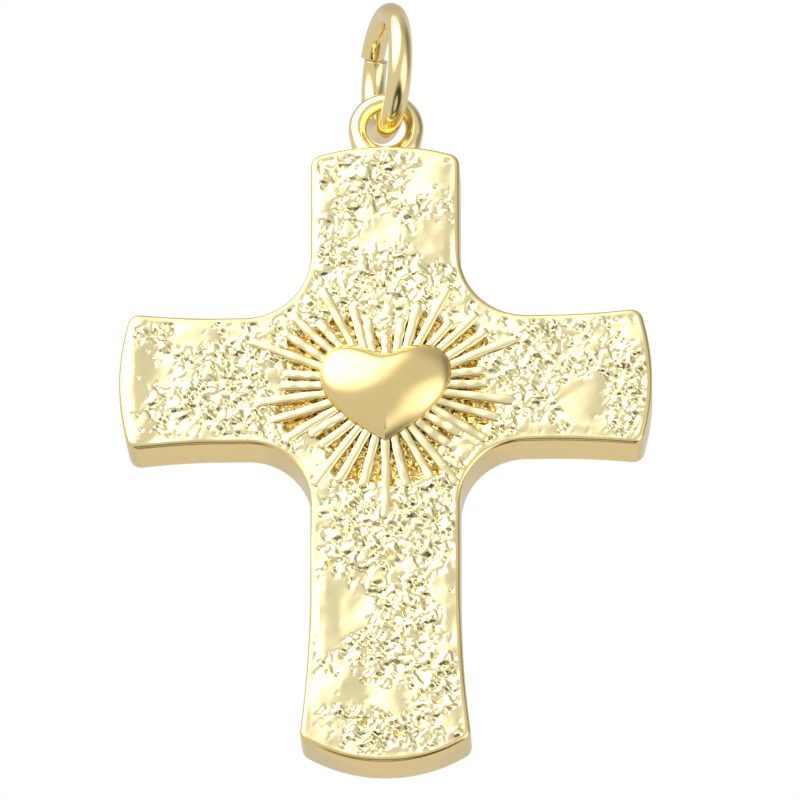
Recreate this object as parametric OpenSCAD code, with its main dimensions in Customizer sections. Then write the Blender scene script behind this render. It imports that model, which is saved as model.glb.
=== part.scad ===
// Cross heart pendant: a cast cross with a raised heart and rays, hung by its eyelet on an open jump ring.
// X runs to the right, Y away from the viewer and Z up. The origin is the centre of the jump ring's opening.
// Lengths are in millimetres and angles in degrees.

/* [Cross plate] */
// Width over the side arms, mm
arm_span = 22.25; // [16:0.05:30]
// Height of the plate from its top end to its bottom end, mm
plate_h = 27.13; // [20:0.05:38]
// Drop from the top end to the centreline of the side arms, mm
arm_drop = 10.43; // [8:0.05:14]
// Thickness of the plate, mm
plate_t = 2.5; // [1.6:0.05:4]
// Width of the upper arm, mm
upper_w = 6.24; // [4:0.02:8]
// Width of the lower arm at its neck, mm
lower_w = 6.22; // [4:0.02:8]
// Height of a side arm at its neck, mm
side_h = 5.6; // [4:0.02:8]
// Radius of the two upper inner corners, mm
upper_fillet = 2.8; // [1:0.05:3.4]
// Radius of the two lower inner corners, mm
lower_fillet = 2.72; // [1:0.05:3.4]
// Radius of the convex top end, mm
top_end_r = 9.9; // [5:0.1:20]
// Radius of the convex side ends, mm
side_end_r = 9.8; // [5:0.1:20]
// Radius of the convex bottom end, mm
bottom_end_r = 6.4; // [4.5:0.1:20]
// Radius of the outer corners, mm
corner_r = 0.5; // [0.44:0.01:0.8]
// Radius of the curve that widens a side arm, mm
side_flare_r = 30; // [20:1:90]
// Where that curve starts, from the middle of the cross, mm
side_flare_from = 6.9; // [6:0.1:8]
// Radius of the curve that widens the lower arm, mm
lower_flare_r = 50; // [30:1:90]
// Where that curve starts, below the side arms' centreline, mm
lower_flare_from = 9; // [6:0.1:12]
// Width of the rounding along the front edge, mm
edge_w = 0.16; // [0.06:0.01:0.42]
// Depth of the rounding along the front edge, mm
edge_d = 0.16; // [0.06:0.01:0.6]

/* [Heart] */
// Width of the heart, mm
heart_w = 5.6; // [4:0.05:6.2]
// Height of the heart's dome above the face, mm
heart_rise = 0.95; // [0.4:0.05:1.5]
// Drop of the heart's middle below the side arms' centreline, mm
heart_drop = 0.51; // [0:0.01:1]

/* [Rays] */
// Width of a ray near its tip, mm
ray_w = 0.42; // [0.3:0.01:0.46]
// Height of a ray's back above the face, mm
ray_rise = 0.12; // [0.04:0.01:0.2]
// Depth of the sunk ground between the rays, mm
ground_d = 0.22; // [0.1:0.01:0.4]

/* [Eyelet] */
// Thickness of the eyelet's round section, mm
eye_wire = 0.76; // [0.6:0.01:1]
// Diameter of the eyelet's hole, mm
eye_hole = 1.65; // [1.3:0.01:2]
// Height of the eyelet's centre above the top end, mm
eye_up = 1.2; // [0.9:0.01:1.3]

/* [Jump ring] */
// Wire diameter of the jump ring, mm
ring_wire = 1; // [0.8:0.05:1.1]
// Outside diameter of the jump ring, mm
ring_od = 6; // [5:0.1:8]
// Turn of the ring about the vertical, degrees
ring_yaw = 16; // [0:1:20]
// Place of the ring's joint above its far side, degrees
joint_at = 35; // [10:1:60]
// Open gap between the wire's ends, mm
joint_gap = 0.1; // [0.04:0.01:0.3]
// Play between the ring and the eyelet's top bar, mm
hang_play = 0.3; // [0.05:0.01:0.35]

/* [Hidden] */

GOLD = [0.90, 0.76, 0.42];
ROUND_FN = 96;
EDGE_RINGS = 6;
FILLET_STEPS = 14;
HEART_RINGS = 9;

half_span = arm_span / 2;
upper_half = upper_w / 2;
lower_half = lower_w / 2;
side_half = side_h / 2;
front_y = -plate_t / 2;
bottom_z = arm_drop - plate_h;

ring_r = (ring_od - ring_wire) / 2;
ring_hole_r = ring_r - ring_wire / 2;
eye_r = (eye_hole + eye_wire) / 2;
// The eyelet's top bar lies this much above the inside of the ring's lowest point.
eye_bar_z = -(ring_hole_r - hang_play - eye_wire / 2);
eye_z = eye_bar_z - eye_r;
cross_z = eye_z - eye_up - arm_drop;

// Points of an arc about a centre, from one angle to another in a number of steps.
function arc(c, r, from, to, steps) =
    [for (i = [0:steps]) let (a = from + (to - from) * i / steps) c + r * [cos(a), sin(a)]];

// Meeting point of two circles, on the left of the way from the first centre to the second.
function meet(c0, r0, c1, r1) =
    let (d = norm(c1 - c0), along = (r0 * r0 - r1 * r1 + d * d) / (2 * d), u = (c1 - c0) / d)
    c0 + u * along + [-u.y, u.x] * sqrt(r0 * r0 - along * along);

function angle_to(from, to) = atan2(to.y - from.y, to.x - from.x);
function mirrored(points) = [for (i = [len(points) - 1:-1:0]) [-points[i].x, points[i].y]];
function upside_down(points) = [for (i = [len(points) - 1:-1:0]) [points[i].x, -points[i].y]];

// Right half of the top end with its corner, from the middle down to the arm's straight side.
top_end_c = [0, arm_drop - top_end_r];
top_corner_x = upper_half - corner_r;
top_corner_c = [top_corner_x, top_end_c.y + sqrt(pow(top_end_r - corner_r, 2) - pow(top_corner_x, 2))];
top_turn = angle_to(top_end_c, top_corner_c);
top_end = concat(
    arc(top_end_c, top_end_r, 90, top_turn, 5),
    arc(top_corner_c, corner_r, top_turn - top_turn / 5, 0, 4));

// Upper half of the right arm, from the fillet's end out to the middle of the arm's end.
side_flare_c = [side_flare_from, side_half + side_flare_r];
side_end_c = [half_span - side_end_r, 0];
side_corner_c = meet(side_flare_c, side_flare_r + corner_r, side_end_c, side_end_r - corner_r);
side_flare_to = angle_to(side_flare_c, side_corner_c);
side_turn = angle_to(side_end_c, side_corner_c);
side_corner_step = (side_flare_to + 180 - side_turn) / 5;
side_arm = concat(
    arc(side_flare_c, side_flare_r, -90, side_flare_to, 4),
    arc(side_corner_c, corner_r, side_flare_to + 180 - side_corner_step, side_turn + side_corner_step, 3),
    arc(side_end_c, side_end_r, side_turn, 0, 5));
side_arm_below = upside_down([for (i = [0:len(side_arm) - 2]) side_arm[i]]);

// Right half of the bottom end, from the lower arm's neck down to the middle.
lower_flare_c = [lower_half + lower_flare_r, -lower_flare_from];
bottom_end_c = [0, bottom_z + bottom_end_r];
bottom_corner_c = meet(lower_flare_c, lower_flare_r + corner_r, bottom_end_c, bottom_end_r - corner_r);
lower_flare_to = angle_to(lower_flare_c, bottom_corner_c) + 360;
bottom_turn = angle_to(bottom_end_c, bottom_corner_c);
bottom_corner_step = (lower_flare_to - 180 - bottom_turn) / 5;
bottom_end = concat(
    arc(lower_flare_c, lower_flare_r, 180, lower_flare_to, 6),
    arc(bottom_corner_c, corner_r, lower_flare_to - 180 - bottom_corner_step, bottom_turn + bottom_corner_step, 3),
    arc(bottom_end_c, bottom_end_r, bottom_turn, -90, 8));

half_outline = concat(
    top_end,
    arc([upper_half, side_half] + [1, 1] * upper_fillet, upper_fillet, 180, 270, FILLET_STEPS),
    side_arm,
    side_arm_below,
    arc([lower_half, -side_half] + [1, -1] * lower_fillet, lower_fillet, 90, 180, FILLET_STEPS),
    bottom_end);
outline = concat(half_outline, mirrored([for (i = [1:len(half_outline) - 2]) half_outline[i]]));

// The outline moved inward by a width. It runs clockwise, so its inside is on the right.
function inset(points, width) =
    let (n = len(points))
    [for (i = [0:n - 1])
        let (
            before = points[i] - points[(i + n - 1) % n],
            after = points[(i + 1) % n] - points[i],
            way = before / norm(before) + after / norm(after),
            right = [way.y, -way.x] / norm(way),
            // A vertex between two straight runs moves a little further than the runs do.
            reach = 2 / norm(way))
        points[i] + right * width * reach];

// Loft through closed sections of equal length. The cap lists the faces that close one section.
module loft(sections, cap) {
    n = len(sections[0]);
    last = (len(sections) - 1) * n;
    polyhedron(
        points = [for (s = sections) each s],
        faces = concat(
            [for (f = cap) [for (i = [len(f) - 1:-1:0]) f[i]]],
            [for (k = [0:n:last - n]) for (i = [0:n - 1]) let (j = (i + 1) % n)
                each [[k + i, k + j, k + n + j], [k + i, k + n + j, k + n + i]]],
            [for (f = cap) [for (i = f) last + i]]));
}

// A fan over a section of n points from one of them.
function fan(n, from) = [for (i = [1:n - 2]) [from, (from + i) % n, (from + i + 1) % n]];

// Strips between two runs of points that face each other, one counted up and one counted down.
function strips(up, down, count) =
    [for (k = [0:count - 1]) let (i = up + k, j = down - k)
        i + 1 == j - 1 ? [i, i + 1, j] : [i, i + 1, j - 1, j]];

// The cross-shaped cap: strips across the upper arm, both side arms and the lower arm round a middle field.
side_first = len(top_end) + FILLET_STEPS;
side_last = side_first + 2 * len(side_arm);
outline_n = len(outline);
cross_cap = concat(
    [[0, 1, outline_n - 1]],
    strips(1, outline_n - 1, side_first - 1),
    strips(side_first, side_last, len(side_arm)),
    strips(outline_n - side_last, outline_n - side_first, len(side_arm)),
    [[side_first, side_last, outline_n - side_last, outline_n - side_first]],
    strips(side_last, outline_n - side_last, len(half_outline) - 1 - side_last));

// The plate with straight plain sides, a flat back and a rounded front edge.
module plate() {
    back = [for (p = outline) [p.x, plate_t / 2, p.y]];
    front = [for (k = [0:EDGE_RINGS - 1])
        let (a = 90 * k / (EDGE_RINGS - 1), ring = inset(outline, edge_w * (1 - cos(a))))
        [for (p = ring) [p.x, front_y + edge_d * (1 - sin(a)), p.y]]];
    loft(concat([back], front), cross_cap);
}

// Heart outline about its middle for a half width of one: lobe, shoulder and side of the right half.
heart_curves = [
    [[0, 0.53], [0.19, 0.58], [0.34, 0.71], [0.59, 0.71]],
    [[0.59, 0.71], [0.84, 0.70], [1, 0.52], [1, 0.26]],
    [[1, 0.26], [1, -0.20], [0.50, -0.54], [0, -0.83]]];
heart_steps = [7, 8, 16];

function curve(c, t) =
    pow(1 - t, 3) * c[0] + 3 * t * pow(1 - t, 2) * c[1] + 3 * t * t * (1 - t) * c[2] + pow(t, 3) * c[3];

heart_half = concat(
    [for (k = [0:2]) for (i = [0:heart_steps[k] - 1]) curve(heart_curves[k], i / heart_steps[k])],
    [heart_curves[2][3]]) * heart_w / 2;
heart_outline = concat(heart_half, mirrored([for (i = [1:len(heart_half) - 2]) heart_half[i]]));
HEART_CREST = [0, 0.12 * heart_w / 2];
HEART_TOP_SCALE = 0.02;
// Half width and half height of the round top that the heart's rings turn into, as shares of half its width.
HEART_TOP = [0.8, 0.62];

// A ring of the heart at a scale from 1 at the foot to 0 at the crest. It loses the notch and the tip as it shrinks.
function heart_ring(s) =
    [for (p = heart_outline)
        let (
            q = p - HEART_CREST,
            u = q / norm(q),
            top = u * heart_w / 2 / norm([u.x / HEART_TOP.x, u.y / HEART_TOP.y]),
            share = 1 - pow(s, 1.5))
        HEART_CREST + (q * (1 - share) + top * share) * s];

// A puffed heart: its rings shrink toward the crest as they rise.
module heart() {
    foot = [for (p = heart_outline) [p.x, 0, p.y]];
    dome = [for (k = [0:HEART_RINGS])
        let (a = 90 * k / HEART_RINGS)
        [for (q = heart_ring(max(pow(cos(a), 0.92), HEART_TOP_SCALE))) [q.x, front_y - heart_rise * sin(a), q.y]]];
    loft(concat([foot], dome), fan(len(heart_outline), len(heart_half) - 1));
}

// Rays of the right half: angle where it leaves the heart, angle of its tip, distance of its tip, mm.
side_rays = [
    [73, 77, 3.3], [63.5, 70, 4.1], [55, 59.4, 5.3], [46, 47.8, 4.2], [38, 41.2, 5.15], [28.5, 31.5, 5.05],
    [21.5, 21.7, 6.15], [13.5, 10.5, 4.35], [5, 3.3, 4.4], [-3.5, -5.8, 5.5], [-13, -15.2, 5.0],
    [-22, -28, 4.85], [-33.5, -32.1, 3.8], [-46, -42, 3.75], [-57, -54.4, 5.2], [-68, -64.2, 4.55],
    [-79.5, -77.7, 4.45]];
middle_rays = [[90, 90, 2.5], [-90, -90, 5.7]];
left_rays = [for (i = [len(side_rays) - 1:-1:0]) let (r = side_rays[i]) [180 - r[0], 180 - r[1], r[2]]];
// All rays clockwise from the top.
rays = concat([middle_rays[0]], side_rays, [middle_rays[1]], left_rays);

// Distance of the heart's outline from its middle in a direction, taken from its nearest point there.
function off_angle(p, a) = abs((atan2(p.y, p.x) - a + 540) % 360 - 180);
function heart_reach(a) =
    let (offs = [for (p = heart_outline) off_angle(p, a)], nearest = min(offs))
    norm(heart_outline[search(nearest, offs)[0]]);

// How far a ray starts inside the heart, and how much of it lies past the sunk ground.
RAY_ROOT = 0.14;
RAY_PAST_GROUND = 0.3;
ray_r = ray_w / 2;

function polar(a, r) = r * [cos(a), sin(a)];

// Steps of a ray's rounded back and of its rounded tip.
BACK_STEPS = 6;
TIP_STEPS = 3;
// How deep a ray reaches below the face.
RAY_FOOT = 0.4;

// Width of a ray at the heart as a share of its width near the tip.
RAY_TAPER = 0.8;
// Height of a ray's low round back.
ray_back = ray_r * 0.6;

// Cross-section of a ray, seen from its tip: across and up from the face, its width scaled by a share.
function ray_section(share) = concat(
    [[-ray_r * share, -RAY_FOOT]],
    [for (i = [0:BACK_STEPS]) let (a = 180 - 180 * i / BACK_STEPS)
        [ray_r * share * cos(a), ray_rise - ray_back + ray_back * share * sin(a)]],
    [[ray_r * share, -RAY_FOOT]]);

// One ray: a bar with a round back and a round tip, lying on the face.
module ray(r) {
    start = polar(r[0], heart_reach(r[0]) - RAY_ROOT);
    tip = polar(r[1], r[2]);
    u = (tip - start) / norm(tip - start);
    bend = tip - u * ray_r;
    stations = concat([[start, RAY_TAPER]],
        [for (i = [0:TIP_STEPS]) let (a = 78 * i / TIP_STEPS) [bend + u * ray_r * sin(a), cos(a)]]);
    loft([for (s = stations)
        [for (q = ray_section(s[1])) let (p = s[0] + [-u.y, u.x] * q.x) [p.x, front_y - q.y, p.y]]],
        fan(BACK_STEPS + 3, 0));
}

// The sunk ground: it ends a little short of the shorter rays' tips, and longer rays run on over the face.
module ground() {
    n = len(rays);
    edge = [for (i = [0:n - 1])
        let (before = rays[(i + n - 1) % n], r = rays[i], s = rays[(i + 1) % n], gap_a = (s[1] - r[1]) % 360,
             mid = r[1] + (gap_a > 0 ? gap_a - 360 : gap_a) / 2,
             reach = min(r[2], (before[2] + s[2]) / 2))
        each [polar(r[1], reach - RAY_PAST_GROUND), polar(mid, min(r[2], s[2]) - RAY_PAST_GROUND)]];
    translate([0, front_y + ground_d, 0])
        rotate([90, 0, 0])
            linear_extrude(plate_t) polygon(edge);
}

// A round eyelet cast on the top end, its hole along Y.
module eyelet() {
    rotate([90, 0, 0])
        rotate_extrude($fn = ROUND_FN)
            translate([eye_r, 0]) circle(eye_wire / 2, $fn = ROUND_FN);
}

// The cast cross: plate, sunk ground, rays, heart and eyelet in one piece.
module cross_casting() {
    color(GOLD) {
        translate([0, 0, cross_z]) {
            difference() {
                plate();
                translate([0, 0, -heart_drop]) ground();
            }
            translate([0, 0, -heart_drop]) {
                heart();
                for (r = rays) ray(r);
            }
        }
        translate([0, 0, eye_z]) eyelet();
    }
}

// The jump ring: an open ring of round wire, standing in the eyelet.
module jump_ring() {
    gap_angle = joint_gap / ring_r * 180 / PI;
    color(GOLD)
        rotate([0, 0, ring_yaw])
            rotate([0, 90, 0])
                rotate([0, 0, 90 + joint_at + gap_angle / 2])
                    rotate_extrude(angle = 360 - gap_angle, $fn = ROUND_FN)
                        translate([ring_r, 0]) circle(ring_wire / 2, $fn = ROUND_FN);
}

cross_casting();
jump_ring();
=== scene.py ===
"""Cross heart pendant: a gold-plated cast cross with a raised heart and rays, on an open jump ring."""
import math

import bmesh
import bpy
import numpy as np
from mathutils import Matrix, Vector
from mathutils.geometry import delaunay_2d_cdt

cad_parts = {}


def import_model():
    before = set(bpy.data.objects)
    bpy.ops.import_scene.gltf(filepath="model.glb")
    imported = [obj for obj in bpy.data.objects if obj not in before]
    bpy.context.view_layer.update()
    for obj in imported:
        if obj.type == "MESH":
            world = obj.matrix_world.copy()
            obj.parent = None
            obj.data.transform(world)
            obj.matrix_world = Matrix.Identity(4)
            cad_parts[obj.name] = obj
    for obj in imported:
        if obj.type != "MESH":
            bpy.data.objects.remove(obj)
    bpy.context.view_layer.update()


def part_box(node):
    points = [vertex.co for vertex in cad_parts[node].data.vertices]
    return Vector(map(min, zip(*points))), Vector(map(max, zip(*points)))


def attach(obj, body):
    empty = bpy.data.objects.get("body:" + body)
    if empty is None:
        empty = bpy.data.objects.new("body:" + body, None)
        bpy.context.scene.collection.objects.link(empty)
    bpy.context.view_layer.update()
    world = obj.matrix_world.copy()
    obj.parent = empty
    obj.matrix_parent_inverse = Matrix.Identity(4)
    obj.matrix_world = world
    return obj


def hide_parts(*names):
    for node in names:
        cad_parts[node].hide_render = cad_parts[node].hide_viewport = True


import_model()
MM = 0.001


# The camera comes first: below the front, a little to the right, with a long lens.
CAMERA_AZIMUTH = math.radians(2.0)
CAMERA_ELEVATION = math.radians(-19.6)
CAMERA_DISTANCE = 0.380
CAMERA_LENS = 410.0
SENSOR = 36.0
CLIP_FROM, CLIP_TO = 0.01, 10.0
PHOTO_PX = 800.0
# Pixel of the photograph on which the middle of the cross's face lies.
MIDDLE_PX = (385.1, 378.4)

# Driving sizes of the cross in millimetres, as in the part's source.
PLATE_T = 2.5
ARM_DROP = 10.43
PLATE_H = 27.13
HALF_SPAN = 11.125
UPPER_HALF = 3.12
LOWER_HALF = 3.11
SIDE_HALF = 2.8
UPPER_FILLET = 2.8
LOWER_FILLET = 2.72
TOP_END_R = 9.9
SIDE_END_R = 9.8
BOTTOM_END_R = 6.4
CORNER_R = 0.5
# Flares of the side and lower arms: radius, and distance from the middle at which they start.
SIDE_FLARE = (30.0, 6.9)
LOWER_FLARE = (50.0, 9.0)
EDGE_W = 0.2
EDGE_D = 0.2
HEART_W = 5.6
HEART_RISE = 0.95
HEART_DROP = 0.51
RAY_W = 0.42
RAY_RISE = 0.12
GROUND_D = 0.22
EYE_WIRE = 0.76
EYE_R = 1.205
# Height of the eyelet's middle over the plate's top, and how much thicker its wire is at the foot.
EYE_UP = 1.2
EYE_FOOT = 0.35
RING_WIRE = 1.0
RING_R = 2.5
RING_YAW = math.radians(16.0)
# Joint of the ring: how far above its back it lies, how wide it stands open, and how far its ends are apart.
JOINT_AT = math.radians(35.0)
JOINT_GAP = 0.1
JOINT_STEP = 0.17

FACE_Y = -PLATE_T / 2
CROSS_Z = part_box("cross_casting")[0][2] / MM + PLATE_H - ARM_DROP
BOTTOM_Z = ARM_DROP - PLATE_H


def new_camera():
    """Looks at the face as the photograph does, with the middle of the cross on its own pixel."""
    cam = bpy.data.objects.new("camera", bpy.data.cameras.new("camera"))
    bpy.context.collection.objects.link(cam)
    forward = Vector((
        -math.sin(CAMERA_AZIMUTH) * math.cos(CAMERA_ELEVATION),
        math.cos(CAMERA_AZIMUTH) * math.cos(CAMERA_ELEVATION),
        -math.sin(CAMERA_ELEVATION)))
    target = Vector((0.0, FACE_Y * MM, CROSS_Z * MM))
    cam.location = target - forward * CAMERA_DISTANCE
    cam.rotation_euler = forward.to_track_quat("-Z", "Y").to_euler()
    cam.data.lens = CAMERA_LENS
    cam.data.sensor_width = SENSOR
    cam.data.shift_x = 0.5 - MIDDLE_PX[0] / PHOTO_PX
    cam.data.shift_y = MIDDLE_PX[1] / PHOTO_PX - 0.5
    cam.data.clip_start = CLIP_FROM
    cam.data.clip_end = CLIP_TO
    bpy.context.scene.camera = cam


# Outline of the cross

# Longest step along an arc, and the step at which the distance to the edge is measured, in millimetres.
ARC_STEP = 0.03
EDGE_STEP = 0.12
# Points whose distance to the edge is measured at a time, to spare memory.
BATCH = 4000


def arc(centre, r, start, stop):
    """Points of an arc, from one angle in degrees to another, close enough together to look round."""
    steps = max(4, int(abs(stop - start) * math.pi / 180 * r / ARC_STEP))
    a = np.radians(np.linspace(start, stop, steps + 1))
    return np.c_[centre[0] + r * np.cos(a), centre[1] + r * np.sin(a)]


def meet(c0, r0, c1, r1):
    """Meeting point of two circles, on the left of the way from the first centre to the second."""
    c0, c1 = np.array(c0), np.array(c1)
    gap = np.hypot(*(c1 - c0))
    along = (r0 * r0 - r1 * r1 + gap * gap) / (2 * gap)
    u = (c1 - c0) / gap
    return c0 + u * along + np.array([-u[1], u[0]]) * math.sqrt(r0 * r0 - along * along)


def angle_to(a, b):
    """Direction from one point to another, in degrees."""
    return math.degrees(math.atan2(b[1] - a[1], b[0] - a[0]))


def half_outline():
    """Right half of the outline, from the top's middle to the bottom's middle."""
    top_c = (0.0, ARM_DROP - TOP_END_R)
    corner_x = UPPER_HALF - CORNER_R
    corner_c = (corner_x, top_c[1] + math.sqrt((TOP_END_R - CORNER_R) ** 2 - corner_x ** 2))
    top_turn = angle_to(top_c, corner_c)
    runs = [
        arc(top_c, TOP_END_R, 90, top_turn),
        arc(corner_c, CORNER_R, top_turn, 0),
        arc((UPPER_HALF + UPPER_FILLET, SIDE_HALF + UPPER_FILLET), UPPER_FILLET, 180, 270)]
    flare_c = (SIDE_FLARE[1], SIDE_HALF + SIDE_FLARE[0])
    end_c = (HALF_SPAN - SIDE_END_R, 0.0)
    side_c = meet(flare_c, SIDE_FLARE[0] + CORNER_R, end_c, SIDE_END_R - CORNER_R)
    flare_to, side_turn = angle_to(flare_c, side_c), angle_to(end_c, side_c)
    arm = np.vstack([
        arc(flare_c, SIDE_FLARE[0], -90, flare_to),
        arc(side_c, CORNER_R, flare_to + 180, side_turn),
        arc(end_c, SIDE_END_R, side_turn, 0)])
    runs += [arm, arm[::-1] * (1, -1)]
    runs.append(arc((LOWER_HALF + LOWER_FILLET, -SIDE_HALF - LOWER_FILLET), LOWER_FILLET, 90, 180))
    flare_c = (LOWER_HALF + LOWER_FLARE[0], -LOWER_FLARE[1])
    end_c = (0.0, BOTTOM_Z + BOTTOM_END_R)
    low_c = meet(flare_c, LOWER_FLARE[0] + CORNER_R, end_c, BOTTOM_END_R - CORNER_R)
    flare_to, low_turn = angle_to(flare_c, low_c) + 360, angle_to(end_c, low_c)
    runs += [
        arc(flare_c, LOWER_FLARE[0], 180, flare_to),
        arc(low_c, CORNER_R, flare_to - 180, low_turn),
        arc(end_c, BOTTOM_END_R, low_turn, -90)]
    return np.vstack(runs)


def resample(points, spacing):
    """Even spacing along a closed line."""
    closed = np.vstack([points, points[:1]])
    way = np.r_[0, np.cumsum(np.hypot(*np.diff(closed, axis=0).T))]
    keep = np.r_[True, np.diff(way) > 1e-9]
    closed, way = closed[keep], way[keep]
    at = np.linspace(0, way[-1], int(way[-1] / spacing) + 1)[:-1]
    return np.c_[np.interp(at, way, closed[:, 0]), np.interp(at, way, closed[:, 1])]


def inward(points):
    """Unit direction to the inside at each point of a clockwise closed line."""
    way = np.roll(points, -1, 0) - np.roll(points, 1, 0)
    way /= np.hypot(*way.T)[:, None]
    return np.c_[way[:, 1], -way[:, 0]]


def depth_inside(points, line):
    """Distance from the outline, more than zero inside."""
    a, b = line, np.roll(line, -1, 0)
    ab = b - a
    length2 = (ab ** 2).sum(1)
    out = np.empty(len(points))
    for k in range(0, len(points), BATCH):
        p = points[k:k + BATCH, None, :]
        t = np.clip(((p - a) * ab).sum(2) / length2, 0, 1)
        away = np.sqrt((((a + t[..., None] * ab) - p) ** 2).sum(2)).min(1)
        x, z = p[..., 0], p[..., 1]
        cross = ((a[:, 1] > z) != (b[:, 1] > z)) & (
            x < ab[:, 0] * (z - a[:, 1]) / np.where(ab[:, 1] == 0, 1, ab[:, 1]) + a[:, 0])
        out[k:k + BATCH] = np.where(cross.sum(1) % 2 == 1, away, -away)
    return out


# Heart and rays

# Right half of the heart as Bezier curves, from the notch to the tip, in half widths of the heart.
HEART_CURVES = (
    ((0, 0.53), (0.19, 0.58), (0.34, 0.71), (0.59, 0.71)),
    ((0.59, 0.71), (0.84, 0.70), (1, 0.52), (1, 0.26)),
    ((1, 0.26), (1, -0.20), (0.50, -0.54), (0, -0.83)))
# Points on each curve, and rings up to the crest.
HEART_STEPS = 40
HEART_RINGS = 40
HEART_CREST = np.array([0, 0.12 * HEART_W / 2])
# Half width and half height of the round top that the heart's rings turn into.
HEART_TOP = np.array([0.8, 0.62]) * HEART_W / 2
# How full the heart's flanks are: 1 is a plain dome, less is fuller.
HEART_FULL = 0.92
# How fast the rings turn round on their way up, and how much faster toward the tip.
HEART_LOSS = 1.5
TIP_LOSS = 1.2
TIP_LOSS_OVER = 0.8
# Rings on which the tip keeps its crease.
TIP_RINGS = 13

# Rays of the right half: angle where it leaves the heart, angle of its tip, distance of its tip.
SIDE_RAYS = (
    (73, 77, 3.3), (63.5, 70, 4.1), (55, 59.4, 5.3), (46, 47.8, 4.2), (38, 41.2, 5.15), (28.5, 31.5, 5.05),
    (21.5, 21.7, 6.15), (13.5, 10.5, 4.35), (5, 3.3, 4.4), (-3.5, -5.8, 5.5), (-13, -15.2, 5.0),
    (-22, -28, 4.85), (-33.5, -32.1, 3.8), (-46, -42, 3.75), (-57, -54.4, 5.2), (-68, -64.2, 4.55),
    (-79.5, -77.7, 4.45))
RAYS = [(90, 90, 2.5)] + list(SIDE_RAYS) + [(-90, -90, 5.7)] + [
    (180 - a, 180 - b, r) for a, b, r in SIDE_RAYS[::-1]]
# How far a ray starts inside the heart, and reaches past the ground and below the face.
RAY_ROOT = 0.14
RAY_PAST_GROUND = 0.3
RAY_FOOT = 0.4
# Width of a ray at the heart, as a share of its width at the tip.
RAY_TAPER = 0.86
# How round the back of a ray is: 1 is an ellipse, less is flatter with steeper sides.
RAY_ROUND = 0.66
# Height of the round back over the ray's steep sides.
RAY_BACK = 0.6 * RAY_W / 2
# Cuts along a ray, and points across its back.
RAY_STATIONS = 24
RAY_ARCH_POINTS = 23
# Angles at which the round tip of a ray is cut.
RAY_TIP_CUTS = (15, 32, 50, 66, 80)
# How uneven the rays are: most sideways bend, change of width, height at the root and fall to the tip.
RAY_SWAY = 0.02
RAY_SWELL = 0.09
RAY_RIPPLE = 0.05
RAY_LIFT = (-0.02, 0.03)
RAY_SINK = (0.02, 0.07)
# Turns in radians of the bend, the swell and the ripple along a ray, and the most that they start on from.
BEND_TURN = 3.1
SWELL_TURN = 4
RIPPLE_TURN = 17
MOST_PHASE = 6.28


def heart_outline():
    """The whole heart from its curves, clockwise from the notch."""
    t = np.linspace(0, 1, HEART_STEPS, endpoint=False)[:, None]
    half = np.vstack([
        (1 - t) ** 3 * np.array(a) + 3 * t * (1 - t) ** 2 * np.array(b)
        + 3 * t * t * (1 - t) * np.array(c) + t ** 3 * np.array(d)
        for a, b, c, d in HEART_CURVES] + [np.array([HEART_CURVES[2][3]])])
    return np.vstack([half, half[1:-1][::-1] * (-1, 1)]) * HEART_W / 2


def polar(a, r):
    """A point from its angle in degrees and its distance."""
    return np.array([r * math.cos(math.radians(a)), r * math.sin(math.radians(a))])


def heart_reach(a, outline):
    """Distance from the heart's middle to its outline at an angle in degrees."""
    off = np.abs((np.degrees(np.arctan2(outline[:, 1], outline[:, 0])) - a + 540) % 360 - 180)
    return float(np.hypot(*outline[off.argmin()]))


# Meshes


def mesh_object(name, points, faces, smooth=True):
    """A new object with its own mesh."""
    mesh = bpy.data.meshes.new(name)
    mesh.from_pydata([tuple(p) for p in points], [], faces)
    mesh.update()
    obj = bpy.data.objects.new(name, mesh)
    bpy.context.collection.objects.link(obj)
    mesh.polygons.foreach_set("use_smooth", [smooth] * len(mesh.polygons))
    return obj


def to_scene(xz, y):
    """Points on the cross, given in millimetres from its middle and a depth, in metres in the frame."""
    xz = np.asarray(xz)
    return np.c_[xz[:, 0], np.broadcast_to(y, len(xz)), xz[:, 1] + CROSS_Z] * MM


def bands(rings, n, first=0):
    """Quads between rings of n points that follow each other."""
    starts = [(first + k * n, first + (k + 1) * n) for k in range(rings - 1)]
    return [(a + i, a + (i + 1) % n, b + (i + 1) % n, b + i) for a, b in starts for i in range(n)]


def smoothstep(low, high, x):
    """Zero below the low value, one above the high value, and a soft rise between."""
    t = np.clip((x - low) / (high - low), 0, 1)
    return t * t * (3 - 2 * t)


# Directions that the noise chooses from, and a shift that keeps its cells away from zero.
NOISE_TABLE = 1024
NOISE_SHIFT = 300.5
NOISE_GAIN = 1.5


def noise(x, z, scale, seed):
    """Gradient noise of about -1 to 1, with features about one scale wide. Each seed turns it differently."""
    table = np.random.RandomState(seed).permutation(NOISE_TABLE)
    u = (x * math.cos(seed) - z * math.sin(seed)) / scale + NOISE_SHIFT
    v = (x * math.sin(seed) + z * math.cos(seed)) / scale + NOISE_SHIFT
    iu, iv = np.floor(u).astype(int), np.floor(v).astype(int)
    fu, fv = u - iu, v - iv

    def corner(du, dv):
        row = table[(iv + dv) % NOISE_TABLE]
        a = table[(iu + du + row) % NOISE_TABLE] * (2 * math.pi / NOISE_TABLE)
        return np.cos(a) * (fu - du) + np.sin(a) * (fv - dv)

    su, sv = (f * f * f * (f * (f * 6 - 15) + 10) for f in (fu, fv))
    low = corner(0, 0) + su * (corner(1, 0) - corner(0, 0))
    high = corner(0, 1) + su * (corner(1, 1) - corner(0, 1))
    return NOISE_GAIN * (low + sv * (high - low))


# Molten face

# Spacing of the face's points, and size of the squares in which drops and pits look for them.
CELL = 0.056
SCATTER_CELL = 0.5
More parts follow.
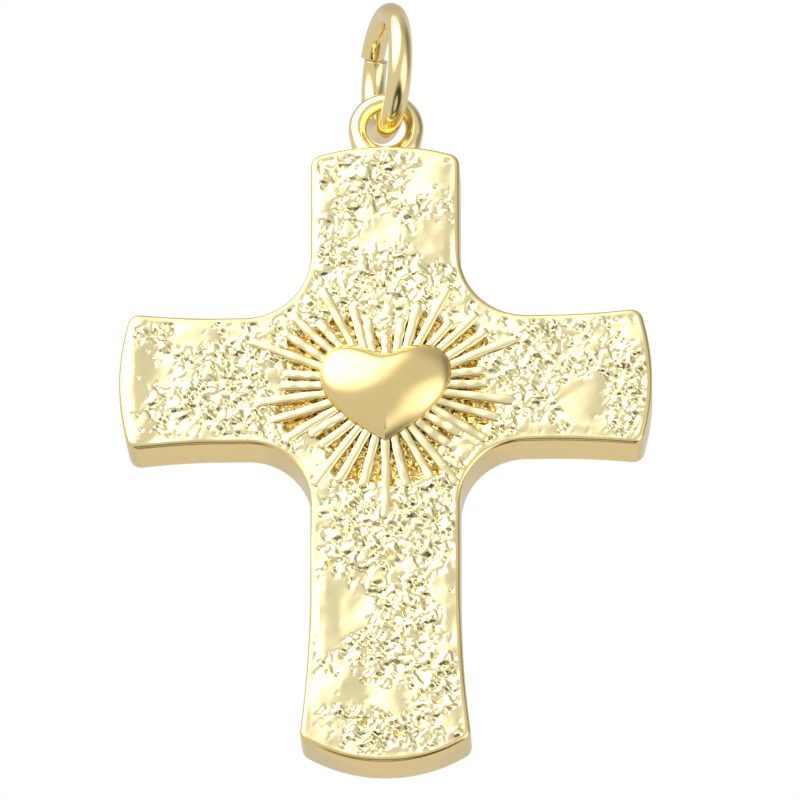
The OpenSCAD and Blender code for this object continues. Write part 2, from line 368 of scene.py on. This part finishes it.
# Least way from the edge's points to the next ones, in cells.
EDGE_CLEAR = 0.55
# Half widths of the upright and of the crossbar, with fillets and flares, in which points are laid.
GRID_HALVES = (6.1, 3.2)
EDGE_RINGS = 6
# The face falls a little toward the edge, over this width, and more in some places than in others.
CUSHION = 0.03
CUSHION_REACH = 0.7
CUSHION_EVEN = 0.7
CUSHION_NOISE = (1.5, 17)
# How much flatter the drops of the upper arm are than the others, and over which heights that comes.
UPPER_CALM = 0.42
UPPER_FROM = (3.6, 6.2)
# Distances from the edge over which the face turns rough, its drops rise, and its waves come up in full.
ROUGH_FROM = (0.18, 0.42)
DROPS_FROM = (0.2, 0.35)
WAVES_FROM = (EDGE_W, 0.4)
WAVES_AT_EDGE = 0.4

# Layers of noise: height in millimetres, size of the features in millimetres, and seed.
WARP_X = (0.16, 0.7, 1)
WARP_Z = (0.16, 0.7, 2)
SWELL = (0.04, 2.4, 4)
RIPPLE = (0.022, 1.1, 5)
LUMPS = (0.024, 0.6, 6)
GRAIN = (0.003, 0.15, 9)
GROUND_EDGE = (0.2, 0.5, 14)
GROUND_LUMPS = (0.08, 0.32, 12)
GROUND_GRAIN = (0.07, 0.18, 13)
# Lumps that the smooth places keep.
LUMPS_LEFT = 0.2
# Dents: depth, size, seed, noise at which they start, how much rough places add, and their middle roughness.
DENTS = ((0.08, 0.44, 7, 0.12, 0.5, 0.6), (0.055, 0.28, 8, 0.15, 0.6, 0.65))
DENTS_FULL = 0.55
DENTS_ROUGH = (0.05, 0.5)
# Creases between drops: depth, size, seed and width. Then what breaks them: size and seed of its noise,
# where it lets a crease show, and how much rough places add, from their middle roughness.
CREASES = (0.02, 0.8, 18, 0.14)
BREAKS = (0.6, 16)
BREAKS_OVER = (-0.1, 0.3)
BREAKS_ROUGH = (0.5, 0.5)
# Drops and pits: seed, how many are tried, least and most radius, and chance on smooth and on rough places.
DROPS = {"seed": 21, "count": 5200, "radii": (0.1, 0.3), "chances": (0.0, 0.85)}
PITS = {"seed": 11, "count": 5200, "radii": (0.06, 0.15), "chances": (0.05, 0.25)}
SCATTER_ROUGH = (0.35, 0.95)
DROP_RISE = 0.42
PIT_DEPTH = 0.9
PIT_WALL = 0.6
# Distances past the ground's edge over which its wall runs.
GROUND_WALL = (-0.2, 0.3)

# Fields of the face, from its middle: place, half width, half height, and how much rougher than the rest.
FIELDS = (
    (0.0, -6.9, 3.0, 1.9, 0.5), (-2.0, -10.1, 1.0, 1.4, -1.4), (2.4, -9.6, 0.7, 1.2, -0.7),
    (-1.2, -11.8, 0.9, 1.0, 0.8), (0.8, -11.4, 0.9, 1.4, 0.7), (-2.0, -13.6, 1.1, 0.7, -0.9),
    (0.2, -13.8, 0.7, 0.6, -0.8), (0.3, -15.2, 1.8, 0.9, 0.6), (2.2, -12.5, 0.7, 1.6, 0.3),
    (-1.2, 8.6, 1.6, 1.2, 0.4), (1.0, 6.4, 1.6, 0.9, -0.5), (0.0, 4.6, 2.6, 1.0, 0.4),
    (2.2, 8.4, 0.8, 1.2, -0.3), (-10.4, 0.2, 0.7, 2.6, -0.6), (-7.0, -0.2, 2.0, 1.8, 0.5),
    (-8.0, 1.9, 1.6, 0.5, -0.5), (6.4, 0.6, 1.2, 2.0, 0.5), (8.0, -1.2, 0.9, 1.3, -0.8),
    (9.8, -1.2, 0.7, 1.6, 0.5), (9.6, 1.8, 1.0, 0.7, -0.2))
# What the fields are added to, and the sums at which the face is quite smooth and quite rough.
FIELDS_WIDE = (0.6, 1.7, 3)
FIELDS_FINE = (0.3, 0.7, 15)
FIELDS_LEVEL = 0.08
FIELDS_ROUGH = (-0.6, 0.65)

# Slopes of smooth patches: place, half width, half height, fall to the right and fall upward.
SLOPES = (
    (-2.0, -10.1, 1.3, 1.7, 0.06, 0.0), (-1.2, -13.7, 1.5, 0.7, 0.055, 0.0),
    (0.6, -13.9, 0.8, 0.6, 0.07, 0.0), (2.3, -9.4, 1.0, 1.3, -0.05, 0.0),
    (-10.0, 0.2, 1.1, 2.8, 0.09, 0.0), (-2.3, 8.2, 0.8, 1.6, 0.08, 0.0),
    (2.3, 8.6, 0.8, 1.0, 0.05, 0.02), (9.8, 0.0, 0.9, 2.4, -0.05, 0.0),
    (7.2, 1.7, 1.2, 0.6, 0.06, 0.0), (0.6, 4.8, 1.5, 0.9, 0.05, 0.0),
    (-8.0, 1.9, 1.6, 0.5, 0.07, 0.02))
# How square the rim of a sloped patch is: 1 is a plain hump.
SLOPE_RIM = 1.4


def layer(x, z, height_size_seed):
    """One layer of noise, in millimetres."""
    height, size, seed = height_size_seed
    return height * noise(x, z, size, seed)


def slopes(x, z):
    """Height of the gentle slopes that let a smooth patch show another part of the studio."""
    out = np.zeros_like(x)
    for sx, sz, wide, high, right, up in SLOPES:
        u, v = (x - sx) / wide, (z - sz) / high
        out -= (right * (x - sx) + up * (z - sz)) * np.exp(-(u * u + v * v) ** SLOPE_RIM)
    return out


def roughness_field(x, z):
    """How rough the face is, from 0 on the smooth patches to 1."""
    value = layer(x, z, FIELDS_WIDE) + layer(x, z, FIELDS_FINE) + FIELDS_LEVEL
    for fx, fz, wide, high, more in FIELDS:
        value += more * np.exp(-((x - fx) / wide) ** 2 - ((z - fz) / high) ** 2)
    return smoothstep(*FIELDS_ROUGH, value)


def scatter(x, z, rough, form, join, seed, count, radii, chances):
    """Small round forms at random places. The chances are those on a smooth and on the roughest place."""
    rng = np.random.RandomState(seed)
    out = np.zeros_like(x)
    columns, rows = (np.floor(v / SCATTER_CELL).astype(int) for v in (x, z))
    cells = {}
    for i, key in enumerate(zip(columns, rows)):
        cells.setdefault(key, []).append(i)
    cells = {k: np.array(v) for k, v in cells.items()}
    for _ in range(count):
        px, pz = rng.uniform(-HALF_SPAN, HALF_SPAN), rng.uniform(BOTTOM_Z, ARM_DROP)
        r = radii[0] + (radii[1] - radii[0]) * rng.uniform() ** 2
        chance = rng.uniform()
        kx, kz = int(math.floor(px / SCATTER_CELL)), int(math.floor(pz / SCATTER_CELL))
        near = [cells[k] for k in ((kx + i, kz + j) for i in (-1, 0, 1) for j in (-1, 0, 1)) if k in cells]
        if not near:
            continue
        near = np.concatenate(near)
        d2 = (x[near] - px) ** 2 + (z[near] - pz) ** 2
        here = smoothstep(*SCATTER_ROUGH, rough[near[d2.argmin()]])
        if chance > chances[0] + (chances[1] - chances[0]) * here:
            continue
        hit = d2 < r * r
        out[near[hit]] = join(out[near[hit]], form(np.sqrt(d2[hit]) / r, r))
    return out


def pit(q, r):
    """Depth of a pit at a share of its radius."""
    return -PIT_DEPTH * r * (1 - q ** 2) ** PIT_WALL


def drop(q, r):
    """Height of a drop at a share of its radius."""
    return DROP_RISE * r * (1 - q ** 2)


def creases(x, z, scale, seed, width):
    """Winding lines between molten drops: one on a line, zero beside it."""
    return 1 - smoothstep(0.0, width, np.abs(noise(x, z, scale, seed)))


def ground_share(x, z):
    """One on the sunk ground between the rays, zero past the rays' tips."""
    turn, reach = [], []
    for before, r, s in zip(RAYS[-1:] + RAYS[:-1], RAYS, RAYS[1:] + RAYS[:1]):
        gap = (s[1] - r[1]) % -360
        turn += [r[1], r[1] + gap / 2]
        reach += [far - RAY_PAST_GROUND for far in (min(r[2], (before[2] + s[2]) / 2), min(r[2], s[2]))]
    turn = np.array(turn)
    turn = np.where(turn > 90.01, turn - 360, turn)
    order = np.argsort(turn)
    dz = z + HEART_DROP
    a = np.degrees(np.arctan2(dz, x))
    a = np.where(a > 90, a - 360, a)
    edge = np.interp(a, turn[order], np.array(reach)[order], period=360) + layer(x, z, GROUND_EDGE)
    return smoothstep(*GROUND_WALL, edge - np.hypot(x, dz))


def face_height(x, z, d):
    """Height of the molten face over its plane in millimetres, at places a distance inside the edge."""
    wx = x + layer(x, z, WARP_X)
    wz = z + layer(x, z, WARP_Z)
    rough = roughness_field(x, z) * smoothstep(*ROUGH_FROM, d)
    cushion = -CUSHION * (1 - smoothstep(EDGE_W, CUSHION_REACH, d))
    cushion = cushion * (CUSHION_EVEN + noise(x, z, *CUSHION_NOISE))
    swell = layer(x, z, SWELL) + layer(wx, wz, RIPPLE) + slopes(x, z)
    lumps = layer(wx, wz, LUMPS) * (LUMPS_LEFT + (1 - LUMPS_LEFT) * rough)
    dents = sum(
        -depth * smoothstep(start, DENTS_FULL, noise(wx, wz, size, seed) + more * (rough - middle))
        for depth, size, seed, start, more, middle in DENTS)
    more, middle = BREAKS_ROUGH
    broken = smoothstep(*BREAKS_OVER, noise(x, z, *BREAKS) + more * (rough - middle))
    dents += -CREASES[0] * creases(wx, wz, *CREASES[1:]) * broken
    grain = layer(x, z, GRAIN) * rough
    fade = WAVES_AT_EDGE + (1 - WAVES_AT_EDGE) * smoothstep(*WAVES_FROM, d)
    molten = cushion + (swell + lumps + grain + dents * smoothstep(*DENTS_ROUGH, rough)) * fade
    drops = scatter(wx, wz, rough, drop, np.maximum, **DROPS)
    pits = scatter(x, z, rough, pit, np.minimum, **PITS)
    molten += (drops + pits) * smoothstep(*DROPS_FROM, d) * (1 - UPPER_CALM * smoothstep(*UPPER_FROM, z))
    sunk = -GROUND_D + layer(x, z, GROUND_LUMPS) + layer(x, z, GROUND_GRAIN)
    share = ground_share(x, z)
    return molten * (1 - share) + sunk * share


def plate_line():
    """The outline with even steps, and the direction to the inside at each of its points."""
    line = resample(np.vstack([half_outline(), half_outline()[::-1] * (-1, 1)]), CELL)
    return line, inward(line)


def face():
    """The dense molten face, up to the start of the rounded edge."""
    line, inside = plate_line()
    n = len(line)
    step = CELL * math.sqrt(3) / 2
    rows = [(BOTTOM_Z + k * step, np.arange(-HALF_SPAN + (k % 2) * CELL / 2, HALF_SPAN, CELL))
            for k in range(int(PLATE_H / step) + 1)]
    grid = np.vstack([np.c_[x, np.full(len(x), z)] for z, x in rows])
    grid = grid[(np.abs(grid[:, 0]) < GRID_HALVES[0]) | (np.abs(grid[:, 1]) < GRID_HALVES[1])]
    d = depth_inside(grid, resample(line, EDGE_STEP))
    keep = d > EDGE_W + EDGE_CLEAR * CELL
    flat = np.vstack([line + inside * EDGE_W, grid[keep]])
    d = np.r_[np.full(n, EDGE_W), d[keep]]
    verts, _, tris, *_ = delaunay_2d_cdt(
        [Vector(p) for p in flat], [(i, (i + 1) % n) for i in range(n)], [], 1, 1e-7)
    flat = np.array([tuple(v) for v in verts])
    height = face_height(flat[:, 0], flat[:, 1], d)
    obj = mesh_object("cross_face", to_scene(flat, FACE_Y - height), [tuple(t) for t in tris])
    # The sunk ground between the rays takes the second material, whose deeper gold is painted shade.
    share = ground_share(flat[:, 0], flat[:, 1])[np.array(tris)].mean(1)
    obj.data.polygons.foreach_set("material_index", (share > 0.5).astype(np.int32))
    recalc(obj)
    return obj


# Rings of the side and of the back's small round: distance from the back, and way inward.
SIDE_RINGS = (
    (PLATE_T / 2, 0.0), (0.12, 0.0), (0.09, 0.0), (0.03, 0.02), (0.008, 0.05), (0.0, 0.1), (0.0, 0.2))


def sides():
    """The rounded front edge, the plain sides and the flat back."""
    line, inside = plate_line()
    n = len(line)
    start = line + inside * EDGE_W
    start_height = face_height(start[:, 0], start[:, 1], np.full(n, EDGE_W))
    rim = []
    for k in range(EDGE_RINGS + 1):
        a = math.pi / 2 * (1 - k / EDGE_RINGS)
        rim.append(to_scene(line + inside * EDGE_W * (1 - math.cos(a)), FACE_Y
                            - start_height * (1 - k / EDGE_RINGS) + EDGE_D * (1 - math.sin(a))))
    for from_back, reach in SIDE_RINGS:
        rim.append(to_scene(line + inside * reach, PLATE_T / 2 - from_back))
    back = (len(rim) - 1) * n
    faces = bands(len(rim), n) + [tuple(back + i for i in range(n))]
    obj = mesh_object("cross_sides", np.vstack(rim), faces)
    recalc(obj)
    return obj


def recalc(obj):
    """Turns all normals to the outside."""
    bm = bmesh.new()
    bm.from_mesh(obj.data)
    bmesh.ops.recalc_face_normals(bm, faces=bm.faces)
    bm.to_mesh(obj.data)
    bm.free()


def heart():
    """The puffed heart: its rings shrink toward the crest as they rise, and lose the notch and the tip."""
    outline = heart_outline()
    n = len(outline)
    rings = HEART_RINGS
    reach = outline - HEART_CREST
    u = reach / np.hypot(*reach.T)[:, None]
    top = u / np.hypot(*(u / HEART_TOP).T)[:, None]
    loss = HEART_LOSS + TIP_LOSS * smoothstep(0.0, TIP_LOSS_OVER, -u[:, 1:])
    points = [to_scene(outline - (0, HEART_DROP), 0.0)]
    for k in range(rings):
        a = math.pi / 2 * k / rings
        s = math.cos(a) ** HEART_FULL
        share = 1 - s ** loss
        ring = HEART_CREST + (reach * (1 - share) + top * share) * s
        points.append(to_scene(ring - (0, HEART_DROP), FACE_Y - HEART_RISE * math.sin(a)))
    points.append(to_scene([HEART_CREST - (0, HEART_DROP)], FACE_Y - HEART_RISE))
    faces = bands(rings + 1, n)
    last = rings * n
    faces += [(last + i, last + (i + 1) % n, last + n) for i in range(n)]
    obj = mesh_object("heart", np.vstack(points), faces)
    recalc(obj)
    tip = int(outline[:, 1].argmin())
    crease = {tuple(sorted((k * n + tip, (k + 1) * n + tip))) for k in range(TIP_RINGS)}
    for edge in obj.data.edges:
        edge.use_edge_sharp = tuple(sorted(edge.vertices)) in crease
    return obj


def rays():
    """Round-backed bars that run out from the heart, each a little uneven."""
    rng = np.random.RandomState(5)
    outline = heart_outline()
    arch = np.radians(np.linspace(180, 0, RAY_ARCH_POINTS))
    section = np.c_[
        np.r_[-1, np.sign(np.cos(arch)) * np.abs(np.cos(arch)) ** RAY_ROUND, 1] * RAY_W / 2,
        np.r_[-RAY_FOOT, RAY_RISE - RAY_BACK + np.sin(arch) ** RAY_ROUND * RAY_BACK, -RAY_FOOT]]
    n = len(section)
    points, faces = [], []
    for leave, tip_a, tip_r in RAYS:
        start = polar(leave, heart_reach(leave, outline) - RAY_ROOT)
        tip = polar(tip_a, tip_r)
        run = tip - start
        length = np.hypot(*run)
        u = run / length
        across = np.array([-u[1], u[0]])
        body = np.linspace(0, length - RAY_W / 2, RAY_STATIONS)
        cuts = np.radians(RAY_TIP_CUTS)
        stations = [(t, RAY_TAPER + (1 - RAY_TAPER) * t / body[-1]) for t in body]
        stations += [(length - RAY_W / 2 * (1 - math.sin(a)), math.cos(a)) for a in cuts]
        sway, swell = rng.uniform(-RAY_SWAY, RAY_SWAY), rng.uniform(-RAY_SWELL, RAY_SWELL)
        lift, sink = rng.uniform(*RAY_LIFT), rng.uniform(*RAY_SINK)
        phase = rng.uniform(0, MOST_PHASE, 2)
        first = sum(len(p) for p in points)
        for t, share in stations:
            f = t / length
            ripple = RAY_RIPPLE * math.sin(RIPPLE_TURN * f + phase[1])
            wide = share * (1 + swell * math.sin(SWELL_TURN * f + phase[0]) + ripple)
            side = section[:, 0] * wide + sway * math.sin(BEND_TURN * f) * 2
            crown = RAY_RISE + lift - sink * f - RAY_BACK + (section[:, 1] - RAY_RISE + RAY_BACK) * wide
            up = np.where(section[:, 1] > -RAY_FOOT, crown, -RAY_FOOT)
            xz = start + u * t + side[:, None] * across - (0, HEART_DROP)
            points.append(to_scene(xz, FACE_Y - up))
        rows = len(stations)
        faces += bands(rows, n, first)
        faces.append(tuple(first + (rows - 1) * n + i for i in range(n)))
    obj = mesh_object("rays", np.vstack(points), faces)
    recalc(obj)
    return obj


# Eyelet and jump ring

# Points round a wire, and cuts along the eyelet and along the ring.
WIRE_SIDES = 40
EYE_CUTS = 160
RING_CUTS = 300
# How far below its middle the eyelet starts to thicken, as a share of its radius.
EYE_FOOT_FROM = 0.2


def tube_ring(name, radius, wire, cuts, place, start=0.0, stop=2 * math.pi, swell=None):
    """Round wire bent on a circle. Where it swells, its inner side stays as it is.

    The place function turns a flat ring point into a scene point."""
    closed = abs(stop - start - 2 * math.pi) < 1e-9
    points = []
    for a in np.linspace(start, stop, cuts, endpoint=not closed):
        r = wire / 2 * (swell(a) if swell else 1.0)
        middle = radius + r - wire / 2
        for b in np.linspace(0, 2 * math.pi, WIRE_SIDES, endpoint=False):
            points.append(place((middle + r * math.cos(b)) * math.cos(a),
                                (middle + r * math.cos(b)) * math.sin(a), r * math.sin(b), a))
    faces = bands(cuts, WIRE_SIDES)
    last = (cuts - 1) * WIRE_SIDES
    if closed:
        faces += [(last + i, last + (i + 1) % WIRE_SIDES, (i + 1) % WIRE_SIDES, i) for i in range(WIRE_SIDES)]
    else:
        faces += [tuple(range(WIRE_SIDES)), tuple(last + i for i in range(WIRE_SIDES))]
    obj = mesh_object(name, points, faces)
    recalc(obj)
    return obj


def eyelet():
    """The cast eyelet, a little thicker where it runs into the plate."""
    eye_z = CROSS_Z + ARM_DROP + EYE_UP

    def place(u, v, w, _):
        return (u * MM, w * MM, (v + eye_z) * MM)

    def swell(a):
        return 1 + EYE_FOOT * float(smoothstep(EYE_FOOT_FROM, 1.0, -math.sin(a)))

    return tube_ring("eyelet", EYE_R, EYE_WIRE, EYE_CUTS, place, swell=swell)


def jump_ring():
    """The open jump ring. Its ends stand a little apart along its axis."""
    gap = JOINT_GAP / RING_R
    axis = (math.cos(RING_YAW), math.sin(RING_YAW))
    # In the ring's own plane the first direction points away from the viewer and the second up.
    start = JOINT_AT + gap / 2

    def place(u, v, w, a):
        turn = (a - start) / (2 * math.pi - gap)
        w += JOINT_STEP * (turn - 0.5) * abs(2 * turn - 1)
        return ((w * axis[0] - u * axis[1]) * MM, (w * axis[1] + u * axis[0]) * MM, v * MM)

    return tube_ring("ring_wire", RING_R, RING_WIRE, RING_CUTS, place, start, start + 2 * math.pi - gap)


# Materials


def linear(hex_colour):
    """A colour written as on a screen, in linear light."""
    parts = [int(hex_colour[i:i + 2], 16) / 255 for i in (1, 3, 5)]
    return tuple(c / 12.92 if c <= 0.04045 else ((c + 0.055) / 1.055) ** 2.4 for c in parts) + (1.0,)


def add(tree, kind, ins=(), **fields):
    """Adds a node, sets its fields, and fills its sockets by name or number with values or other outputs."""
    node = tree.nodes.new(kind)
    for name, value in fields.items():
        setattr(node, name, value)
    for key, value in dict(ins).items():
        if isinstance(value, bpy.types.NodeSocket):
            tree.links.new(value, node.inputs[key])
        else:
            node.inputs[key].default_value = value
    return node


# Gold plating on brass, warm where it is polished. The paler golds of the face, rays, wire and eyelet are
# painted sheen; the deeper gold of the sunk ground is painted shade.
GOLD = "#F2DA98"
PAINTED_SHEEN_PALE_GOLD = "#F6E8B4"
PAINTED_SHADE_DEEP_GOLD = "#D9BD78"
PAINTED_SHEEN_WIRE_GOLD = "#F7E2A6"
# Lengths in millimetres of the patches of wear, and of the low waves on the plain sides and back.
WEAR_LENGTH = 1.4
WAVE_LENGTH = 3.2


def new_tree(owner):
    """The empty node tree of a material or world."""
    owner.use_nodes = True
    owner.node_tree.nodes.clear()
    return owner.node_tree


def gold(name, colour, roughness, skin_mm, wave_mm=0.0):
    """Gold plating on brass: a soft change of roughness, a fine skin and, where given, long low waves.

    The roughness runs from its first value to its second. The skin has a height and a length."""
    mat = bpy.data.materials.new(name)
    tree = new_tree(mat)
    coords = add(tree, "ShaderNodeTexCoord").outputs["Object"]
    wear = add(tree, "ShaderNodeTexNoise", {
        "Vector": coords, "Scale": 1 / (WEAR_LENGTH * MM), "Detail": 4.0})
    rough = add(tree, "ShaderNodeMapRange", {
        "Value": wear.outputs[0], "From Min": 0.3, "From Max": 0.7,
        "To Min": roughness[0], "To Max": roughness[1]})
    skin = add(tree, "ShaderNodeTexNoise", {
        "Vector": coords, "Scale": 1 / (skin_mm[1] * MM), "Detail": 3.0})
    bump = add(tree, "ShaderNodeBump", {
        "Height": skin.outputs[0], "Distance": skin_mm[0] * MM, "Strength": 1.0})
    if wave_mm:
        waves = add(tree, "ShaderNodeTexNoise", {
            "Vector": coords, "Scale": 1 / (WAVE_LENGTH * MM), "Detail": 1.0})
        bump = add(tree, "ShaderNodeBump", {
            "Height": waves.outputs[0], "Distance": wave_mm * MM, "Strength": 1.0,
            "Normal": bump.outputs[0]})
    shader = add(tree, "ShaderNodeBsdfPrincipled", {
        "Base Color": linear(colour), "Metallic": 1.0, "Roughness": rough.outputs[0],
        "Normal": bump.outputs[0]})
    add(tree, "ShaderNodeOutputMaterial", {"Surface": shader.outputs[0]})
    return mat


# The studio as the metal shows it, where white is 1: direction, start and end of a soft edge, and level.
STUDIO_FILL = 0.73
STUDIO_LIGHTS = (
    ((-0.55, -0.60, 0.58), 0.70, 0.93, 2.0), ((0.71, -0.64, -0.31), 0.80, 0.98, 0.9))
STUDIO_DARKS = (
    ((0.1, -0.35, -0.93), 0.70, 0.93, 0.93), ((0.93, 0.0, 0.37), 0.78, 1.0, 0.55),
    ((0.0, 0.94, -0.34), 0.6, 1.0, 0.12), ((0.6, -0.2, 0.78), 0.8, 1.0, 0.36),
    ((-0.1, 0.55, 0.83), 0.7, 1.0, 0.25))
# A glow in the dark below, so that a face or wall that looks straight down still shows its gold.
STUDIO_GLOW = ((-0.03, -0.34, -0.94), 0.95, 0.992, 0.62)


def world():
    """A white background behind the object, and a soft studio round it for the metal to show."""
    w = bpy.data.worlds.new("studio")
    bpy.context.scene.world = w
    tree = new_tree(w)
    direction = add(tree, "ShaderNodeTexCoord").outputs["Generated"]

    def lobe(toward, start, end, level):
        """A round area of the studio, brightest toward a direction."""
        along = add(tree, "ShaderNodeVectorMath", {0: direction, 1: Vector(toward).normalized()},
                    operation="DOT_PRODUCT")
        return add(tree, "ShaderNodeMapRange", {
            "Value": along.outputs["Value"], "From Min": start, "From Max": end, "To Max": level},
            interpolation_type="SMOOTHSTEP").outputs[0]

    level = STUDIO_FILL
    for light in STUDIO_LIGHTS:
        level = add(tree, "ShaderNodeMath", {0: level, 1: lobe(*light)}, operation="ADD").outputs[0]
    for dark in STUDIO_DARKS:
        left = add(tree, "ShaderNodeMath", {0: 1.0, 1: lobe(*dark)}, operation="SUBTRACT").outputs[0]
        level = add(tree, "ShaderNodeMath", {0: level, 1: left}, operation="MULTIPLY").outputs[0]
    level = add(tree, "ShaderNodeMath", {0: level, 1: lobe(*STUDIO_GLOW)}, operation="ADD").outputs[0]
    studio = add(tree, "ShaderNodeBackground", {"Color": (1, 1, 1, 1), "Strength": level})
    plain = add(tree, "ShaderNodeBackground", {"Color": (1, 1, 1, 1), "Strength": 1.0})
    path = add(tree, "ShaderNodeLightPath")
    seen = add(tree, "ShaderNodeMath", {
        0: path.outputs["Is Camera Ray"], 1: path.outputs["Is Transmission Ray"]},
        operation="MAXIMUM").outputs[0]
    mix = add(tree, "ShaderNodeMixShader", {0: seen, 1: studio.outputs[0], 2: plain.outputs[0]})
    add(tree, "ShaderNodeOutputWorld", {"Surface": mix.outputs[0]})


# Floor in metres: height, distance of its middle behind the cross, radius, and where it starts to fade.
FLOOR_Z = -0.3
FLOOR_Y = 0.62
FLOOR_R = 0.55
FLOOR_FADE = 0.3
FLOOR_SIDES = 96
FLOOR_COLOUR = "#E0DBD4"
# How far the camera sees the floor as plain white, so that only a faint shadow shows.
FLOOR_WHITE = 0.7


def floor():
    """A pale floor below and behind, which fades out toward its rim."""
    turns = np.linspace(0, 2 * math.pi, FLOOR_SIDES, endpoint=False)
    rim = [(FLOOR_R * math.cos(a), FLOOR_R * math.sin(a), 0) for a in turns]
    obj = mesh_object("floor", rim, [tuple(range(FLOOR_SIDES))], smooth=False)
    obj.location = (0, FLOOR_Y, FLOOR_Z)
    mat = bpy.data.materials.new("pale_matt_floor")
    tree = new_tree(mat)
    place = add(tree, "ShaderNodeTexCoord").outputs["Object"]
    reach = add(tree, "ShaderNodeVectorMath", {0: place}, operation="LENGTH").outputs["Value"]
    fade = add(tree, "ShaderNodeMapRange", {"Value": reach, "From Min": FLOOR_FADE, "From Max": FLOOR_R},
               interpolation_type="SMOOTHSTEP").outputs[0]
    matt = add(tree, "ShaderNodeBsdfDiffuse", {"Color": linear(FLOOR_COLOUR)})
    white = add(tree, "ShaderNodeEmission", {"Color": (1, 1, 1, 1), "Strength": 1.0})
    path = add(tree, "ShaderNodeLightPath")
    seen = add(tree, "ShaderNodeMath", {0: path.outputs["Is Camera Ray"], 1: FLOOR_WHITE},
               operation="MULTIPLY")
    pale = add(tree, "ShaderNodeMixShader", {0: seen.outputs[0], 1: matt.outputs[0], 2: white.outputs[0]})
    clear = add(tree, "ShaderNodeBsdfTransparent")
    mix = add(tree, "ShaderNodeMixShader", {0: fade, 1: pale.outputs[0], 2: clear.outputs[0]})
    add(tree, "ShaderNodeOutputMaterial", {"Surface": mix.outputs[0]})
    obj.data.materials.append(mat)


# Softboxes: name, place, width and height in metres, and the level at which the metal shows them.
SOFTBOXES = (
    ("key_left_high", (-0.50, -0.42, 0.40), (0.34, 0.34), 1.3),
    ("fill_right_low", (0.46, -0.42, -0.22), (0.16, 0.20), 0.7))


def softbox(name, place, size, level):
    """A rectangular light aimed at the cross, which the metal shows at a given level, where white is 1."""
    data = bpy.data.lights.new(name, "AREA")
    data.shape = "RECTANGLE"
    data.size, data.size_y = size
    data.energy = level * math.pi * size[0] * size[1]
    obj = bpy.data.objects.new(name, data)
    bpy.context.collection.objects.link(obj)
    obj.location = place
    middle = Vector((0.0, 0.0, CROSS_Z * MM))
    obj.rotation_euler = (middle - Vector(place)).to_track_quat("-Z", "Y").to_euler()


new_camera()
world()
floor()
for box in SOFTBOXES:
    softbox(*box)

# Cast, and plated as it froze, with mirror-bright drops and a fine soft skin between them; its paler gold is
# painted sheen.
face_gold_painted_sheen = gold("gold_plated_cast_brass_painted_sheen", PAINTED_SHEEN_PALE_GOLD, (0.14, 0.24), (0.0012, 0.09))
# Cast too, and sunk between the rays: its deeper gold is painted shade, with a coarse grain that glints.
ground_gold_painted_shade = gold("gold_plated_brass_ground_painted_shade", PAINTED_SHADE_DEEP_GOLD, (0.14, 0.26), (0.006, 0.08))
# Polished before plating: it shows the studio in smooth soft areas.
polished_gold = gold("gold_plated_polished_brass", GOLD, (0.1, 0.2), (0.0008, 0.3))
# Tumbled smooth: its reflections run in long low waves.
plain_gold = gold("gold_plated_tumbled_brass", GOLD, (0.14, 0.26), (0.0008, 0.3), 0.09)
# Drawn wire, and the eyelet: the smoothest of all, with sharp reflections; their paler gold is painted sheen.
wire_gold_painted_sheen = gold("gold_plated_brass_wire_painted_sheen", PAINTED_SHEEN_WIRE_GOLD, (0.07, 0.16), (0.0008, 0.3))

for make, materials in (
        (face, (face_gold_painted_sheen, ground_gold_painted_shade)), (sides, (plain_gold,)), (heart, (polished_gold,)),
        (rays, (face_gold_painted_sheen,)), (eyelet, (wire_gold_painted_sheen,))):
    piece = make()
    for material in materials:
        piece.data.materials.append(material)
    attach(piece, "cross")
    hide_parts("cross_casting")

ring = jump_ring()
ring.data.materials.append(wire_gold_painted_sheen)
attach(ring, "ring")
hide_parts("jump_ring")

bpy.context.scene.view_settings.view_transform = "Standard"
